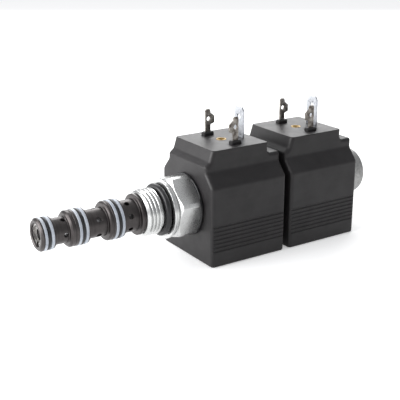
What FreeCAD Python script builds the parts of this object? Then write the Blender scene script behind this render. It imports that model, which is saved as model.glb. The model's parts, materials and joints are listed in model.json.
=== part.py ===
import FreeCAD, Part

import math
import os

# Double solenoid directional valve: a screw-in cartridge with one guide tube that carries two coils.
# Millimetres. +Z is up and +X runs along the valve axis, from the nose towards the coil nut.
# The origin is on the valve axis, in the plane of the collar face that seats on the manifold.

V = FreeCAD.Vector
AXIS = V(1, 0, 0)
OUT = "parts"

# ---- driving dimensions -------------------------------------------------------------------------
RUNNING_GAP = 0.03        # radial gap of the spool in the sleeve
COIL_GAP = 0.07           # radial gap of a coil on the guide tube

# sleeve
NOSE_X = -53.2
NOSE_D = 12.9
NOSE_CHAMFER = 0.8
SPOOL_BORE_D = 8.0
NOSE_BORE_D = 8.8
NOSE_BORE_END_X = -44.6
BORE_CHAMFER = 0.3
SPIGOT_D = 14.0
SPIGOT_END_X = -3.6
SEAL_WIDTH = 3.8          # width of a seal groove
SEAL_SECTION = 1.5        # how far a seal stands above its groove floor
SEAL_PROUD = 0.25         # and above the thin wall behind it
O_RING_D = 1.44
SEALS = (                 # name, x of the groove's front wall, diameter over the seal
    ("seal_1", -51.85, 13.1),
    ("seal_2", -38.35, 14.6),
    ("seal_3", -23.45, 16.1),
)
FLANGE = 0.6              # thin wall behind each seal
LANDS = (                 # behind each neck: x of the land's front face, neck and land diameter, chamfer
    (-41.75, 10.3, 14.2, 0.8),
    (-25.85, 11.3, 15.6, 0.6),
    (-12.25, 13.0, 16.7, 0.3),
)
LAST_LAND_END_X = -11.15
LAST_LAND_STEP = 0.6
LINE_HALF_WIDTH = 0.2     # the line turned round a land, and its depth
LINE_DEPTH = 0.25
PORT_ROWS = (             # x, hole diameter, number of holes, angle of the first one from +Y
    (-42.9, 1.8, 5, 113.6),
    (-29.24, 2.0, 5, 149.6),
    (-16.09, 2.0, 7, 111.6),
)

# retaining ring and spring seat in the nose bore
CLIP_X = NOSE_X + 0.7
CLIP_WIDTH = 0.7
CLIP_GROOVE_D = 9.4
CLIP_BORE_D = 7.3
CLIP_GAP = 2.2            # between the ring's two ears
EAR_D = 1.5
EAR_HOLE_D = 0.64
EAR_Y = 1.75
EAR_INSET = 0.35          # from the ring's bore out to an ear's centre
SEAT_LENGTH = 0.8
SEAT_BORE_D = 4.4
SEAT_NOTCHES = 4
SEAT_NOTCH_D = 1.5
SEAT_NOTCH_R = 3.55       # a notch reaches in to this radius

# springs at both ends of the spool train
SPRING_MEAN_D = 6.3
SPRING_WIRE = 0.8
SPRING_TURNS = 4.5

# spool
SPOOL_FRONT_X = -44.0
SPOOL_REAR_X = -4.6
SPOOL_NECK_D = 4.8
SPOOL_LAND = 4.8
SPOOL_TAIL_LAND = 4.2
SPOOL_DRILLING_D = 3.0
SPOOL_CHAMFER = 0.3
BALANCE_GROOVE = 0.25     # half its width
BALANCE_DEPTH = 0.3
CROSS_HOLES = (-36.0, -22.6)
CROSS_HOLE_D = 1.6
ROD_SOCKET = 4.4          # depth of the rod's socket in the spool
PIN_D = 1.2
PIN_FROM_END = 2.1
PIN_SHORT = 0.3           # a pin end lies this far inside the sleeve's bore

# hexagon adapter
THREAD_D = 19.05          # 3/4-16 UNF
THREAD_PITCH = 25.4 / 16
THREAD_DEPTH = 0.92
THREAD_CHAMFER = 1.0
THREAD_LEAD = 2.4         # from the thread's front end to the first groove's middle
THREAD_FLANK = 0.4        # half width of a groove at the crests, in pitches
ROOT_HALF_FLAT = 0.1
THREAD_START_X = -10.3
THREAD_END_X = -3.1
RELIEF_D = 16.4
SEAT_RING_SECTION = 2.55
SEAT_RECESS_D = 21.8      # shallow recess under the large O-ring: the seat is the land round it
SEAT_RECESS_DEPTH = 0.1
COLLAR_D = 24.6
COLLAR_LENGTH = 0.97
COLLAR_CHAMFER = 0.2
COLLAR_GROOVE_D = 22.6
HEX_START_X = 2.4
HEX_END_X = 11.7
HEX_AF = 24.0
HEX_ROUND_D = 26.8        # the corners are turned down to this
HEX_CHAMFER = 1.1         # length of the front cone
HEX_FACE_INSET = 0.35
HEX_REAR_CHAMFER = (0.5, 0.7)   # length and depth
HEX_TURN = 44.5           # angle of the first corner from +Y, degrees
BOSS_D = 17.5
BOSS_END_X = 12.5
BORE_RELIEF = 0.3         # radial gap between the adapter's bore and the sleeve's

# guide tube and what is in it
TUBE_D = 13.0
TUBE_BORE_D = 10.6
TUBE_START_X = 3.2
TUBE_END_X = 90.8
TUBE_CHAMFER = 0.4
PLUG_DEPTH = 3.2          # of the tail plug in the guide tube
ARMATURE_D = 10.4
ARMATURE_LENGTH = 24.0
ARMATURE_CHAMFER = 0.4
ARMATURE_SOCKET = 5.0     # depth of a rod's socket
PASSAGE_OFFSET = 4.6      # two oil passages along each armature
PASSAGE_WIDTH = 1.2
SPRING_POCKET_D = 7.4
SPRING_POCKET = 6.0
POLE_LENGTH = 15.1
POLE_GAP = 2.6
ROD_D = 3.0
ROD_GAP = 0.06            # radial gap of the push rod in its bush
BUSH_D = 4.6
POLE_GROOVE_D = 1.2
SHIM = 0.2
SHIM_MARGIN = 0.3

# coils
COIL_LENGTH = 36.8
COIL_WIDTH = 38.0
AXIS_HEIGHT = 22.4        # valve axis above the flat underside
COIL_HEIGHT = 47.2
BLOCK_WIDTH = 28.8        # connector block on top
BLOCK_FRONT = 3.5
BLOCK_BACK = 30.5
SHOULDER_LOW = 33.4       # heights above the underside where the sides slope in
SHOULDER_HIGH = 38.6
SHOULDER_LOW_ROUND = 2.5
SHOULDER_HIGH_ROUND = 2.0
BROW_HEIGHT = 40.9        # the front face ends here and slopes back to the foot of the block
BROW_BACK = 2.1
BROW_TOP_HEIGHT = 42.7
LEDGE_HEIGHT = 42.4
LEDGE_ROUND = 1.8
UNDERSIDE_ROUND = 0.7
END_ROUND = 1.6
SPARE_DEPTH = 5.0         # the rounded block is made this much too deep, then cut off at the underside
SPARE_CORNER_ROUND = 1.6
SPARE_END_ROUND = 2.4
TOP_ROUND = 0.3
COIL_FRONTS = (12.8, 52.3)
RIB_PITCH = 1.7
RIB_COUNT = 7
RIB_LOW = 6.9
RIB_GROOVE_R = 0.5
RIB_GROOVE_OUT = 0.12     # a groove's centre lies this far outside the side
CAVITY_D = 33.0
END_WALL = 2.6
MOUTH_D = 20.0
FLUX_WASHER = 3.0
FLUX_SHELL_WALL = 1.7
WINDING_TURNS = 24        # turns in the winding's outer layer
WIRE_RIPPLE = 0.3
BOBBIN_WALL = 0.9
BOBBIN_FLANGE = 1.2
INSERT_X = 17.0
INSERT_D = 4.2
INSERT_LENGTH = 7.0
INSERT_PROUD = 0.15
INSERT_BORE_D = 2.5       # an M3 thread's core
INSERT_MOUTH_D = 3.5
BLADE_REACH = 9.0         # blades from the connector screw, along Y and along X
BLADE = 0.8
TAIL = 4.5                # depth of a blade in the moulding
POWER_HOLE = (6.9, 1.9)   # a blade hole's height above the block, and its diameter
EARTH_HOLE = (8.4, 2.4)
FOOT_LENGTH = 5.2         # moulded foot round a power blade
FOOT_WIDTH = 3.0
FOOT_HEIGHT = 1.5
FOOT_CHAMFER = 0.5
FRONT_SEAL_D = (20.8, 26.0)     # bore and outside
FRONT_SEAL_PLAY = 0.03
FRONT_SEAL_ROUND = 0.3
SPACER_D = 24.0
SPACER_CHAMFER = 0.4
SPACER_GAP = 0.1

# coil nut
STUD_D = 10.0
STUD_END_X = 97.4
STUD_RELIEF = (0.9, 0.7)  # length and depth
STUD_THREAD_DEPTH = 0.6
STUD_THREAD_FLANK = 0.38  # half width of a groove at the crests, in pitches
STUD_CHAMFER = 0.5
NUT_START_X = 89.35
NUT_END_X = 103.2
NUT_D = 21.9
NUT_TAPER = 0.5           # how much the radius falls towards the closed end
NUT_FRONT_ROUND = 0.5
NUT_END_ROUND = 2.4
NUT_FLUTES = 36
FLUTE_R = 0.6
FLUTE_OUT = 0.25          # a flute's centre lies this far outside the side
FLUTE_START = 1.6         # from the nut's front face
NUT_PITCH = 1.25
NUT_RING_SECTION = 1.5
NUT_RING_MEAN_D = 17.5
NUT_RING_FRONT = 0.15     # from the second coil's rear face
NUT_GROOVE_D = (15.9, 19.1)
CUT_OVER = 1.0            # how far a cutting solid runs past what it cuts

block_top = COIL_HEIGHT - AXIS_HEIGHT
underside = -AXIS_HEIGHT
pole_mid_x = (COIL_FRONTS[0] + COIL_LENGTH + COIL_FRONTS[1]) / 2
pole_front_x = pole_mid_x - POLE_LENGTH / 2
pole_rear_x = pole_mid_x + POLE_LENGTH / 2
front_armature_end_x = pole_front_x - POLE_GAP
rear_armature_start_x = pole_rear_x + POLE_GAP
rear_armature_end_x = rear_armature_start_x + ARMATURE_LENGTH
nut_ring_start_x = COIL_FRONTS[1] + COIL_LENGTH + NUT_RING_FRONT


# ---- shapes used many times ---------------------------------------------------------------------
def turned(outline):
    """A solid turned about the valve axis from (x, radius) points."""
    points = [V(x, 0, r) for x, r in outline]
    wire = Part.makePolygon(points + [points[0]])
    return Part.Face(wire).revolve(V(0, 0, 0), AXIS, 360)


def rod(x0, x1, d):
    return Part.makeCylinder(d / 2, x1 - x0, V(x0, 0, 0), AXIS)


def tube(x0, x1, bore, d):
    return rod(x0, x1, d).cut(rod(x0 - 1, x1 + 1, bore))


def torus(x, mean_d, section):
    return Part.makeTorus(mean_d / 2, section / 2, V(x, 0, 0), AXIS)


def box(x0, x1, y0, y1, z0, z1):
    return Part.makeBox(x1 - x0, y1 - y0, z1 - z0, V(x0, y0, z0))


def spoke(x, angle, r0, r1, d):
    """A cylinder that points away from the valve axis at an angle measured from +Y towards +Z."""
    a = math.radians(angle)
    out = V(0, math.cos(a), math.sin(a))
    return Part.makeCylinder(d / 2, r1 - r0, V(x, 0, 0) + out * r0, out)


def rounded_face(corners):
    """A flat face from (point, radius) corners, with an arc at every corner that has a radius."""
    edges = []
    count = len(corners)
    ends = []
    for i, (point, radius) in enumerate(corners):
        before = corners[i - 1][0]
        after = corners[(i + 1) % count][0]
        to_before = (before - point).normalize()
        to_after = (after - point).normalize()
        half = to_before.getAngle(to_after) / 2
        reach = radius / math.tan(half)
        start = point + to_before * reach
        end = point + to_after * reach
        if radius > 0:
            middle_line = (to_before + to_after).normalize()
            middle = point + middle_line * (radius / math.sin(half) - radius)
            edges.append(Part.Arc(start, middle, end).toShape())
        ends.append((start, end))
    for i in range(count):
        a = ends[i][1]
        b = ends[(i + 1) % count][0]
        if (b - a).Length > 1e-6:
            edges.append(Part.LineSegment(a, b).toShape())
    return Part.Face(Part.Wire(Part.sortEdges(edges)[0]))


def spring(x0, x1):
    """A compression spring about the valve axis, with its coil centres half a wire inside both ends."""
    length = x1 - x0 - SPRING_WIRE
    path = Part.makeHelix(length / SPRING_TURNS, length, SPRING_MEAN_D / 2)
    round_wire = Part.Circle(V(SPRING_MEAN_D / 2, 0, 0), V(0, 1, 0), SPRING_WIRE / 2)
    section = Part.Wire([round_wire.toShape(0, math.pi), round_wire.toShape(math.pi, 2 * math.pi)])
    coil = Part.Wire(path).makePipeShell([section], True, True)
    coil.rotate(V(0, 0, 0), V(0, 1, 0), 90)
    coil.translate(V(x0 + SPRING_WIRE / 2, 0, 0))
    return coil


# ---- sleeve and its seals -----------------------------------------------------------------------
def valve_sleeve():
    def groove(index):
        _, x, over = SEALS[index]
        r = over / 2
        floor = r - SEAL_SECTION
        wall = r - SEAL_PROUD
        return [(x, floor), (x + SEAL_WIDTH, floor), (x + SEAL_WIDTH, wall), (x + SEAL_WIDTH + FLANGE, wall)]

    def land(index, end_x):
        """A land behind a neck, from the wall of the seal groove before it."""
        x, neck_d, d, chamfer = LANDS[index]
        neck_start = SEALS[index][1] + SEAL_WIDTH + FLANGE
        return [
            (neck_start, neck_d / 2),
            (x, neck_d / 2),
            (x, d / 2 - chamfer),
            (x + chamfer, d / 2),
            (end_x, d / 2),
        ]

    def turned_line(index):
        """The line round a land, halfway between its chamfer and its seal groove."""
        x, _, d, chamfer = LANDS[index]
        middle = (x + chamfer + SEALS[index + 1][1]) / 2
        r = d / 2
        return [(middle - LINE_HALF_WIDTH, r), (middle, r - LINE_DEPTH), (middle + LINE_HALF_WIDTH, r)]

    last_r = LANDS[2][2] / 2
    outer = [
        (NOSE_X, NOSE_BORE_D / 2 + BORE_CHAMFER),
        (NOSE_X, NOSE_D / 2 - NOSE_CHAMFER),
        (NOSE_X + NOSE_CHAMFER, NOSE_D / 2),
        (SEALS[0][1], NOSE_D / 2),
    ]
    outer += groove(0)
    for index in (0, 1):
        front = land(index, SEALS[index + 1][1])
        outer += front[:-1] + turned_line(index) + front[-1:] + groove(index + 1)
    outer += land(2, LAST_LAND_END_X)
    outer += [
        (LAST_LAND_END_X, last_r - LAST_LAND_STEP),
        (THREAD_START_X, last_r - LAST_LAND_STEP),
        (THREAD_START_X, SPIGOT_D / 2),
        (SPIGOT_END_X, SPIGOT_D / 2),
    ]
    bore_step = (NOSE_BORE_D - SPOOL_BORE_D) / 2
    inner = [
        (SPIGOT_END_X, SPOOL_BORE_D / 2),
        (NOSE_BORE_END_X, SPOOL_BORE_D / 2),
        (NOSE_BORE_END_X - bore_step, NOSE_BORE_D / 2),
        (CLIP_X + CLIP_WIDTH, NOSE_BORE_D / 2),
        (CLIP_X + CLIP_WIDTH, CLIP_GROOVE_D / 2),
        (CLIP_X, CLIP_GROOVE_D / 2),
        (CLIP_X, NOSE_BORE_D / 2),
        (NOSE_X + BORE_CHAMFER, NOSE_BORE_D / 2),
    ]
    sleeve = turned(outer + inner)
    for x, d, count, first in PORT_ROWS:
        for i in range(count):
            hole = spoke(x, first + i * 360 / count, SPOOL_BORE_D / 2 - CUT_OVER, NOSE_D, d)
            sleeve = sleeve.cut(hole)
    return sleeve


def nose_retaining_ring():
    ring = tube(CLIP_X, CLIP_X + CLIP_WIDTH, CLIP_BORE_D, CLIP_GROOVE_D)
    x1 = CLIP_X + CLIP_WIDTH + CUT_OVER
    slot = box(CLIP_X - CUT_OVER, x1, -CLIP_GAP / 2, CLIP_GAP / 2, -CLIP_GROOVE_D, 0)
    ring = ring.cut(slot)
    ear_z = EAR_INSET - CLIP_BORE_D / 2
    for side in (-1, 1):
        ear = Part.makeCylinder(EAR_D / 2, CLIP_WIDTH, V(CLIP_X, side * EAR_Y, ear_z), AXIS)
        start = V(CLIP_X - CUT_OVER, side * EAR_Y, ear_z)
        hole = Part.makeCylinder(EAR_HOLE_D / 2, CLIP_WIDTH + 2 * CUT_OVER, start, AXIS)
        ring = ring.fuse(ear).cut(hole)
    return ring.removeSplitter()


def nose_spring_seat():
    x0 = CLIP_X + CLIP_WIDTH
    seat = tube(x0, x0 + SEAT_LENGTH, SEAT_BORE_D, NOSE_BORE_D - 0.1)
    for i in range(SEAT_NOTCHES):
        angle = (i + 0.5) * 360 / SEAT_NOTCHES
        seat = seat.cut(spoke(x0 + SEAT_LENGTH / 2, angle, SEAT_NOTCH_R, NOSE_BORE_D, SEAT_NOTCH_D))
    return seat


def nose_spring():
    x0 = CLIP_X + CLIP_WIDTH + SEAT_LENGTH
    return spring(x0, SPOOL_FRONT_X)


def backup_ring(x, bore, d, width, cut_angle):
    """A plastic anti-extrusion ring with a slanting cut through it."""
    slit = 0.12
    slant = 35
    ring = tube(x, x + width, bore, d)
    knife = box(x - 1, x + width + 1, -slit / 2, slit / 2, bore / 2 - 1, d / 2 + 1)
    knife.rotate(V(x + width / 2, 0, 0), V(0, 0, 1), slant)
    knife.rotate(V(0, 0, 0), AXIS, cut_angle)
    return ring.cut(knife)


def seal_parts():
    """O-ring and two backup rings for each of the three grooves."""
    made = {}
    backup = (SEAL_WIDTH - O_RING_D) / 2
    cut_angles = ((200, 20), (240, 70), (280, 120))
    for (name, x, over), (front_cut, rear_cut) in zip(SEALS, cut_angles):
        floor = over - 2 * SEAL_SECTION
        outer = over - 0.1
        made[name + "_front_backup"] = backup_ring(x, floor, outer, backup, front_cut)
        made[name + "_rear_backup"] = backup_ring(x + SEAL_WIDTH - backup, floor, outer, backup, rear_cut)
        made[name + "_o_ring"] = torus(x + SEAL_WIDTH / 2, floor + O_RING_D, O_RING_D)
    return made


# ---- hexagon adapter ----------------------------------------------------------------------------
def hex_adapter():
    crest = THREAD_D / 2
    root = crest - THREAD_DEPTH
    outer = [
        (THREAD_START_X, SPIGOT_D / 2),
        (THREAD_START_X, crest - THREAD_CHAMFER),
        (THREAD_START_X + THREAD_CHAMFER, crest),
    ]
    x = THREAD_START_X + THREAD_LEAD
    flank = THREAD_PITCH * THREAD_FLANK
    while x + flank < THREAD_END_X - 0.3:
        outer += [
            (x - flank, crest),
            (x - ROOT_HALF_FLAT, root),
            (x + ROOT_HALF_FLAT, root),
            (x + flank, crest),
        ]
        x += THREAD_PITCH
    outer += [
        (THREAD_END_X - 0.1, crest),
        (THREAD_END_X, crest - 0.3),
        (THREAD_END_X, RELIEF_D / 2),
        (SEAT_RECESS_DEPTH, RELIEF_D / 2),
        (SEAT_RECESS_DEPTH, SEAT_RECESS_D / 2),
        (0, SEAT_RECESS_D / 2),
        (0, COLLAR_D / 2),
        (COLLAR_LENGTH - COLLAR_CHAMFER, COLLAR_D / 2),
        (COLLAR_LENGTH, COLLAR_D / 2 - COLLAR_CHAMFER),
        (COLLAR_LENGTH, COLLAR_GROOVE_D / 2),
        (HEX_START_X, COLLAR_GROOVE_D / 2),
        (HEX_START_X, HEX_AF),
        (HEX_END_X, HEX_AF),
        (HEX_END_X, BOSS_D / 2),
        (BOSS_END_X, BOSS_D / 2),
        (BOSS_END_X, TUBE_D / 2),
        (TUBE_START_X, TUBE_D / 2),
        (TUBE_START_X, SPOOL_BORE_D / 2 + BORE_RELIEF),
        (SPIGOT_END_X, SPOOL_BORE_D / 2 + BORE_RELIEF),
        (SPIGOT_END_X, SPIGOT_D / 2),
    ]
    body = turned(outer)
    return body.common(hex_envelope())


def hex_envelope():
    """Everything the wrench hexagon may fill: a hexagonal prism whose corners and ends are turned."""
    corner_r = HEX_AF / math.sqrt(3)
    corners = []
    for i in range(7):
        a = math.radians(HEX_TURN + 60 * i)
        corners.append(V(HEX_START_X, corner_r * math.cos(a), corner_r * math.sin(a)))
    prism = Part.Face(Part.makePolygon(corners)).extrude(V(HEX_END_X - HEX_START_X, 0, 0))
    round_r = HEX_ROUND_D / 2
    rear_length, rear_depth = HEX_REAR_CHAMFER
    turned_body = turned([
        (HEX_START_X, 0),
        (HEX_START_X, HEX_AF / 2 - HEX_FACE_INSET),
        (HEX_START_X + HEX_CHAMFER, round_r),
        (HEX_END_X - rear_length, round_r),
        (HEX_END_X, round_r - rear_depth),
        (HEX_END_X, 0),
    ])
    hexagon = prism.common(turned_body)
    front = rod(THREAD_START_X - CUT_OVER, HEX_START_X, COLLAR_D + CUT_OVER)
    rear = rod(HEX_END_X, BOSS_END_X + CUT_OVER, BOSS_D + CUT_OVER)
    return front.fuse([hexagon, rear])


def seat_o_ring():
    return torus(-SEAT_RING_SECTION / 2, RELIEF_D + SEAT_RING_SECTION, SEAT_RING_SECTION)


# ---- guide tube and fixed magnetic parts --------------------------------------------------------
def guide_tube():
    wall = [
        (TUBE_START_X, TUBE_BORE_D / 2),
        (TUBE_START_X, TUBE_D / 2),
        (TUBE_END_X - TUBE_CHAMFER, TUBE_D / 2),
        (TUBE_END_X, TUBE_D / 2 - TUBE_CHAMFER),
        (TUBE_END_X, TUBE_BORE_D / 2),
    ]
    return turned(wall)


def centre_pole():
    pole = tube(pole_front_x, pole_rear_x, BUSH_D, TUBE_BORE_D)
    return pole.cut(torus(pole_mid_x, TUBE_BORE_D, POLE_GROOVE_D))


def pole_bush():
    return tube(pole_front_x, pole_rear_x, ROD_D + 2 * ROD_GAP, BUSH_D)


def pole_shim(x0):
    return tube(x0, x0 + SHIM, ROD_D + 2 * SHIM_MARGIN, ARMATURE_D - 2 * SHIM_MARGIN)


def tail_plug():
    """Plug welded into the guide tube, with the stud that the coil nut screws on to."""
    stud_r = STUD_D / 2
    relief_length, relief_depth = STUD_RELIEF
    outline = [
        (TUBE_END_X - PLUG_DEPTH, 0),
        (TUBE_END_X - PLUG_DEPTH, TUBE_BORE_D / 2),
        (TUBE_END_X, TUBE_BORE_D / 2),
        (TUBE_END_X, stud_r - relief_depth),
        (TUBE_END_X + relief_length, stud_r - relief_depth),
        (TUBE_END_X + relief_length, stud_r),
    ]
    flank = NUT_PITCH * STUD_THREAD_FLANK
    x = TUBE_END_X + relief_length + 1.0
    while x + flank < STUD_END_X - STUD_CHAMFER:
        outline += [(x - flank, stud_r), (x, stud_r - STUD_THREAD_DEPTH), (x + flank, stud_r)]
        x += NUT_PITCH
    outline += [
        (STUD_END_X - STUD_CHAMFER, stud_r),
        (STUD_END_X, stud_r - STUD_CHAMFER),
        (STUD_END_X, 0),
    ]
    return turned(outline)


# ---- moving spool train -------------------------------------------------------------------------
def spool():
    """Spool with one land over each row of ports, hollow from its front end."""
    r = SPOOL_BORE_D / 2 - RUNNING_GAP
    neck = SPOOL_NECK_D / 2
    bore_r = SPOOL_DRILLING_D / 2
    outline = [(SPOOL_FRONT_X, bore_r)]
    for centre, _, _, _ in PORT_ROWS:
        start = max(SPOOL_FRONT_X, centre - SPOOL_LAND / 2)
        end = centre + SPOOL_LAND / 2
        groove = (start + end) / 2
        if start > SPOOL_FRONT_X:
            outline.append((start, neck))
        outline += [
            (start, r - SPOOL_CHAMFER),
            (start + SPOOL_CHAMFER, r),
            (groove - BALANCE_GROOVE, r),
            (groove - BALANCE_GROOVE, r - BALANCE_DEPTH),
            (groove + BALANCE_GROOVE, r - BALANCE_DEPTH),
            (groove + BALANCE_GROOVE, r),
            (end, r),
            (end, neck),
        ]
    bore_end_x = SPOOL_REAR_X - ROD_SOCKET - 1.6
    outline += [
        (SPOOL_REAR_X - SPOOL_TAIL_LAND, neck),
        (SPOOL_REAR_X - SPOOL_TAIL_LAND, r),
        (SPOOL_REAR_X - SPOOL_CHAMFER, r),
        (SPOOL_REAR_X, r - SPOOL_CHAMFER),
        (SPOOL_REAR_X, ROD_D / 2),
        (SPOOL_REAR_X - ROD_SOCKET, ROD_D / 2),
        (SPOOL_REAR_X - ROD_SOCKET, 0),
        (bore_end_x, 0),
        (bore_end_x - 0.9, bore_r),
    ]
    body = turned(outline)
    for x in CROSS_HOLES:
        body = body.cut(spoke(x, 90, -SPOOL_BORE_D, SPOOL_BORE_D, CROSS_HOLE_D))
    return body.cut(pin(SPOOL_BORE_D))


def pin(half_length):
    """The cross pin's cylinder, through the spool's tail."""
    return spoke(SPOOL_REAR_X - PIN_FROM_END, 90, -half_length, half_length, PIN_D)


def spool_pin():
    return pin(SPOOL_BORE_D / 2 - PIN_SHORT)


def spool_rod():
    """Rod from the spool's tail to the front armature, pinned in the spool."""
    socket_floor_x = front_armature_end_x - ARMATURE_LENGTH + ARMATURE_SOCKET
    return rod(SPOOL_REAR_X - ROD_SOCKET + 0.1, socket_floor_x, ROD_D).cut(pin(SPOOL_BORE_D))


def armature(x0, x1, rear_pocket, rear_pocket_d):
    """An armature with a rod's socket in its front end, a pocket in its rear end and two oil passages."""
    r = ARMATURE_D / 2
    body = turned([
        (x0, 0),
        (x0, r - ARMATURE_CHAMFER),
        (x0 + ARMATURE_CHAMFER, r),
        (x1 - ARMATURE_CHAMFER, r),
        (x1, r - ARMATURE_CHAMFER),
        (x1, 0),
    ])
    body = body.cut(rod(x0 - CUT_OVER, x0 + ARMATURE_SOCKET, ROD_D))
    body = body.cut(rod(x1 - rear_pocket, x1 + CUT_OVER, rear_pocket_d))
    half = PASSAGE_WIDTH / 2
    for y in (-PASSAGE_OFFSET, PASSAGE_OFFSET):
        body = body.cut(box(x0 - CUT_OVER, x1 + CUT_OVER, y - half, y + half, -half, half))
    return body


def front_armature():
    x1 = front_armature_end_x
    return armature(x1 - ARMATURE_LENGTH, x1, ARMATURE_SOCKET, ROD_D)


def rear_armature():
    return armature(rear_armature_start_x, rear_armature_end_x, SPRING_POCKET, SPRING_POCKET_D)


def push_rod():
    return rod(front_armature_end_x - ARMATURE_SOCKET, rear_armature_start_x + ARMATURE_SOCKET, ROD_D)


def tail_spring():
    return spring(rear_armature_end_x - SPRING_POCKET, TUBE_END_X - PLUG_DEPTH)


# ---- coils --------------------------------------------------------------------------------------
def casing_solid():
    half = COIL_WIDTH / 2
    block = BLOCK_WIDTH / 2
    low = underside + SHOULDER_LOW
    high = underside + SHOULDER_HIGH
    bottom = underside - SPARE_DEPTH
    right = [
        ((half, bottom), SPARE_CORNER_ROUND),
        ((half, low), SHOULDER_LOW_ROUND),
        ((block, high), SHOULDER_HIGH_ROUND),
        ((block, block_top), 0.0),
    ]
    end_view = [(V(0, y, z), r) for (y, z), r in right]
    end_view += [(V(0, -y, z), r) for (y, z), r in reversed(right)]
    across = rounded_face(end_view).extrude(V(COIL_LENGTH, 0, 0))
    ledge = underside + LEDGE_HEIGHT
    side_view = [
        ((0, bottom), SPARE_END_ROUND),
        ((0, underside + BROW_HEIGHT), 1.0),
        ((BROW_BACK, underside + BROW_TOP_HEIGHT), 1.5),
        ((BLOCK_FRONT, block_top), 0.0),
        ((BLOCK_BACK, block_top), 0.0),
        ((BLOCK_BACK, ledge), LEDGE_ROUND),
        ((COIL_LENGTH, ledge), 0.8),
        ((COIL_LENGTH, bottom), SPARE_END_ROUND),
    ]
    corners = [(V(x, -half - CUT_OVER, z), r) for (x, z), r in side_view]
    along = rounded_face(corners).extrude(V(0, COIL_WIDTH + 2 * CUT_OVER, 0))
    return across.common(along)


def end_edges(body):
    """The edges round both end faces. A round on them runs on up the connector block's corners."""
    chosen = []
    for edge in body.Edges:
        place = edge.BoundBox
        if place.XMax < 0.01 or place.XMin > COIL_LENGTH - 0.01:
            chosen.append(edge)
    return chosen


def underside_edges(body):
    return [edge for edge in body.Edges if edge.BoundBox.ZMax < underside + 0.01]


def top_edges(body):
    return [edge for edge in body.Edges if edge.BoundBox.ZMin > block_top - 0.01]


def blade_shape(outline, hole_across, hole_place):
    """A flat blade that stands on the block: outline in (across, height), flat face towards X."""
    hole_height, hole_d = hole_place
    points = [V(0, u, block_top + h) for u, h in outline]
    blade = Part.Face(Part.makePolygon(points + [points[0]])).extrude(V(BLADE, 0, 0))
    start = V(-BLADE, hole_across, block_top + hole_height)
    blade = blade.cut(Part.makeCylinder(hole_d / 2, 3 * BLADE, start, AXIS))
    blade.translate(V(-BLADE / 2, 0, 0))
    return blade


def power_blade(turn):
    """A narrow neck with an ear on one side. The two blades are the same, half a turn apart round the screw."""
    outline = [
        (-1.9, -TAIL),
        (0.5, -TAIL),
        (0.5, 4.4),
        (2.4, 5.0),
        (2.4, 7.9),
        (0.5, 9.4),
        (0.5, 10.2),
        (-0.1, 11.0),
        (-1.3, 11.0),
        (-1.9, 10.2),
    ]
    blade = blade_shape(outline, -0.5, POWER_HOLE)
    blade.rotate(V(0, 0, 0), V(0, 0, 1), -90)
    blade.translate(V(0, BLADE_REACH, 0))
    blade.rotate(V(0, 0, 0), V(0, 0, 1), turn)
    blade.translate(V(INSERT_X, 0, 0))
    return blade


def earth_blade():
    outline = [
        (-1.8, -TAIL),
        (1.8, -TAIL),
        (1.8, -0.2),
        (3.15, -0.2),
        (3.15, 11.0),
        (1.9, 12.6),
        (-1.9, 12.6),
        (-3.15, 11.0),
        (-3.15, -0.2),
        (-1.8, -0.2),
    ]
    blade = blade_shape(outline, 0, EARTH_HOLE)
    blade.translate(V(INSERT_X + BLADE_REACH, 0, 0))
    return blade


def screw_insert():
    """Threaded brass insert for the connector screw (M3, bored to its thread's core)."""
    top = block_top + INSERT_PROUD
    bore_r = INSERT_BORE_D / 2
    mouth_r = INSERT_MOUTH_D / 2
    mouth_depth = mouth_r - bore_r
    body = insert_well()
    neck = Part.makeTorus(INSERT_D / 2, 0.35, V(INSERT_X, 0, top - INSERT_LENGTH / 2))
    start = V(INSERT_X, 0, top - INSERT_LENGTH - CUT_OVER)
    bore = Part.makeCylinder(bore_r, INSERT_LENGTH + 2 * CUT_OVER, start)
    mouth = Part.makeCone(bore_r, mouth_r, mouth_depth, V(INSERT_X, 0, top - mouth_depth))
    return body.cut(neck).cut(bore).cut(mouth)


def insert_well():
    """The plain cylinder that the insert fills in the moulding."""
    start = V(INSERT_X, 0, block_top + INSERT_PROUD - INSERT_LENGTH)
    return Part.makeCylinder(INSERT_D / 2, INSERT_LENGTH, start)


def flux_washer(x0):
    return tube(x0, x0 + FLUX_WASHER, TUBE_D + 2 * COIL_GAP, CAVITY_D)


def flux_shell():
    x0 = END_WALL + FLUX_WASHER
    return tube(x0, COIL_LENGTH - x0, CAVITY_D - 2 * FLUX_SHELL_WALL, CAVITY_D)


def bobbin():
    x0 = END_WALL + FLUX_WASHER
    x1 = COIL_LENGTH - x0
    bore_r = TUBE_D / 2 + COIL_GAP
    core_r = bore_r + BOBBIN_WALL
    flange_r = CAVITY_D / 2 - FLUX_SHELL_WALL - 0.2
    return turned([
        (x0, bore_r),
        (x0, flange_r),
        (x0 + BOBBIN_FLANGE, flange_r),
        (x0 + BOBBIN_FLANGE, core_r),
        (x1 - BOBBIN_FLANGE, core_r),
        (x1 - BOBBIN_FLANGE, flange_r),
        (x1, flange_r),
        (x1, bore_r),
    ])


def winding():
    """The copper winding, its surface rippled by the outer layer of wire."""
    x0 = END_WALL + FLUX_WASHER + BOBBIN_FLANGE
    x1 = COIL_LENGTH - x0
    core_r = TUBE_D / 2 + COIL_GAP + BOBBIN_WALL
    outer_r = CAVITY_D / 2 - FLUX_SHELL_WALL - 1.0
    step = (x1 - x0) / WINDING_TURNS
    outline = [(x0, core_r), (x0, outer_r - WIRE_RIPPLE)]
    for i in range(WINDING_TURNS):
        outline.append((x0 + (i + 0.5) * step, outer_r))
        outline.append((x0 + (i + 1) * step, outer_r - WIRE_RIPPLE))
    outline.append((x1, core_r))
    return turned(outline)


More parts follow.
